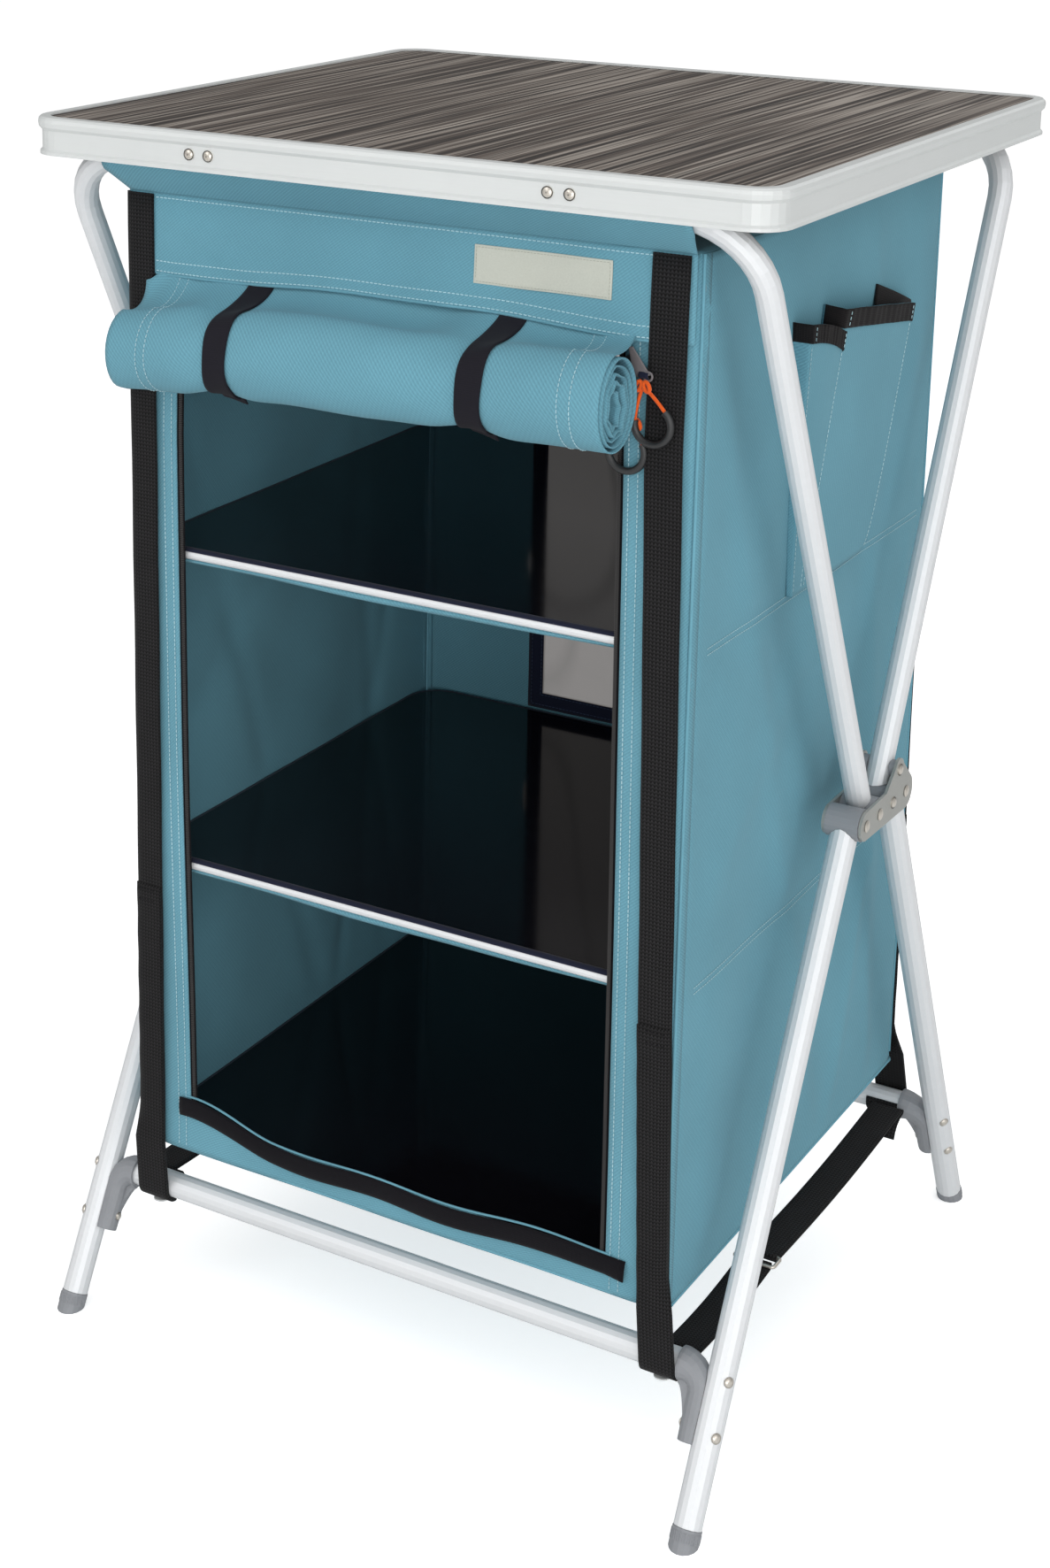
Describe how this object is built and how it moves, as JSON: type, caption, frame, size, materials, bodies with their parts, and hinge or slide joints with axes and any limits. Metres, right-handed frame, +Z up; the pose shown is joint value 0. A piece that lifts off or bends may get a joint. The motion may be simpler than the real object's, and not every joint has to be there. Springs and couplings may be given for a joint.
{
  "type": "camping cupboard",
  "caption": "Folding camping cupboard with a crossed aluminium tube frame, a framed tabletop and a hanging teal fabric cabinet with shelves and a rolled-up door.",
  "frame": {"origin": "centre of the footprint on the floor", "axes": "+X to the right seen from the front, -Y the front with the door, +Z up"},
  "size_m": [0.6, 0.5858, 0.978],
  "materials": {
    "anodised_tube": "matt anodised",
    "anodised_rim": "matt anodised, almost white",
    "wood_grain_board": "brown printed wood grain, satin",
    "grey_plastic": "matt moulded",
    "hinge_steel": "zinc plated",
    "rivet_steel": "plated",
    "black_board": "gloss laminate",
    "teal_fabric": "twill",
    "window_film": "dark net",
    "black_webbing": "woven webbing",
    "dark_tie": "woven tape",
    "zip_metal": "dark painted"
  },
  "bodies": {
    "frame": {"upper_rear_bow": "anodised_tube", "barrel_rear_bow_left": "grey_plastic", "barrel_rear_bow_right": "grey_plastic", "hinge_plate_outer_left": "hinge_steel", "hinge_plate_outer_right": "hinge_steel", "hinge_plate_inner_left": "hinge_steel", "hinge_plate_inner_right": "hinge_steel", "pin_front_leg_left": "rivet_steel", "pin_front_leg_right": "rivet_steel", "pin_front_bow_left": "rivet_steel", "pin_front_bow_right": "rivet_steel", "pin_rear_leg_left": "rivet_steel", "pin_rear_leg_right": "rivet_steel", "fabric_cabinet": "teal_fabric", "window_mesh": "window_film", "door_roll": "teal_fabric", "roll_tie_left": "dark_tie", "roll_tie_right": "dark_tie", "webbing_front_left": "black_webbing", "webbing_front_right": "black_webbing", "webbing_rear_left": "black_webbing", "webbing_rear_right": "black_webbing", "base_strap_front_left": "black_webbing", "base_strap_front_right": "black_webbing", "base_strap_rear_left": "black_webbing", "base_strap_rear_right": "black_webbing", "strap_buckle_left": "rivet_steel", "strap_buckle_right": "rivet_steel", "side_pocket_front": "teal_fabric", "side_pocket_rear": "teal_fabric"},
    "front_bow": {"upper_front_bow": "anodised_tube", "barrel_front_bow_left": "grey_plastic", "barrel_front_bow_right": "grey_plastic"},
    "front_legs": {"front_leg_left": "anodised_tube", "front_leg_right": "anodised_tube", "front_foot_left": "grey_plastic", "front_foot_right": "grey_plastic", "front_elbow_left": "grey_plastic", "front_elbow_right": "grey_plastic", "barrel_front_leg_left": "grey_plastic", "barrel_front_leg_right": "grey_plastic", "front_crossbar": "anodised_tube"},
    "rear_legs": {"rear_leg_left": "anodised_tube", "rear_leg_right": "anodised_tube", "rear_foot_left": "grey_plastic", "rear_foot_right": "grey_plastic", "rear_elbow_left": "grey_plastic", "rear_elbow_right": "grey_plastic", "barrel_rear_leg_left": "grey_plastic", "barrel_rear_leg_right": "grey_plastic", "rear_crossbar": "anodised_tube"},
    "tabletop": {"tabletop_board": "wood_grain_board", "tabletop_rim": "anodised_rim"},
    "upper_shelf": {"shelf_board_upper": "black_board", "shelf_rail_upper": "anodised_tube"},
    "lower_shelf": {"shelf_board_lower": "black_board", "shelf_rail_lower": "anodised_tube"},
    "base_board": {"shelf_board_base": "black_board"},
    "zip_left": {"zip_slider_left": "zip_metal"},
    "zip_right": {"zip_slider_right": "zip_metal"}
  },
  "joints": [
    {"name": "frame_fold", "type": "hinge", "parent": "frame", "child": "front_bow", "pos_m": [0, 0.00245, 0.466], "axis": [-1, 0, 0], "range_deg": [0, 52.1], "deforming": ["fabric_cabinet", "window_mesh", "door_roll", "roll_tie_left", "roll_tie_right", "webbing_front_left", "webbing_front_right", "webbing_rear_left", "webbing_rear_right", "base_strap_front_left", "base_strap_front_right", "base_strap_rear_left", "base_strap_rear_right", "strap_buckle_left", "strap_buckle_right", "side_pocket_front", "side_pocket_rear"]},
    {"name": "front_leg_fold", "type": "hinge", "parent": "frame", "child": "front_legs", "pos_m": [0, -0.02475, 0.466], "axis": [-1, 0, 0], "range_deg": [0, 177.99]},
    {"name": "rear_leg_fold", "type": "hinge", "parent": "frame", "child": "rear_legs", "pos_m": [0, 0.05685, 0.466], "axis": [1, 0, 0], "range_deg": [0, 129.33]},
    {"name": "tabletop_lift", "type": "slide", "parent": "frame", "child": "tabletop", "axis": [0, 0, 1], "range_m": [0, 0.2505]},
    {"name": "zip_slide_left", "type": "slide", "parent": "frame", "child": "zip_left", "axis": [0, 0, -1], "range_m": [0, 0.62]},
    {"name": "zip_slide_right", "type": "slide", "parent": "frame", "child": "zip_right", "axis": [0, 0, -1], "range_m": [0, 0.62]},
    {"name": "upper_shelf_rise", "type": "slide", "parent": "frame", "child": "upper_shelf", "axis": [0, 0, 1], "range_m": [0, 0.1453]},
    {"name": "lower_shelf_rise", "type": "slide", "parent": "frame", "child": "lower_shelf", "axis": [0, 0, 1], "range_m": [0, 0.3851]},
    {"name": "base_board_rise", "type": "slide", "parent": "frame", "child": "base_board", "axis": [0, 0, 1], "range_m": [0, 0.611]}
  ],
  "couplings": [
    {"joint": "front_leg_fold", "follows": "frame_fold", "ratio": 3.4086},
    {"joint": "rear_leg_fold", "follows": "frame_fold", "ratio": 2.4747},
    {"joint": "tabletop_lift", "follows": "frame_fold", "m_per_rad": 0.275},
    {"joint": "upper_shelf_rise", "follows": "frame_fold", "m_per_rad": 0.15891},
    {"joint": "lower_shelf_rise", "follows": "frame_fold", "m_per_rad": 0.42263},
    {"joint": "base_board_rise", "follows": "frame_fold", "m_per_rad": 0.67105}
  ]
}
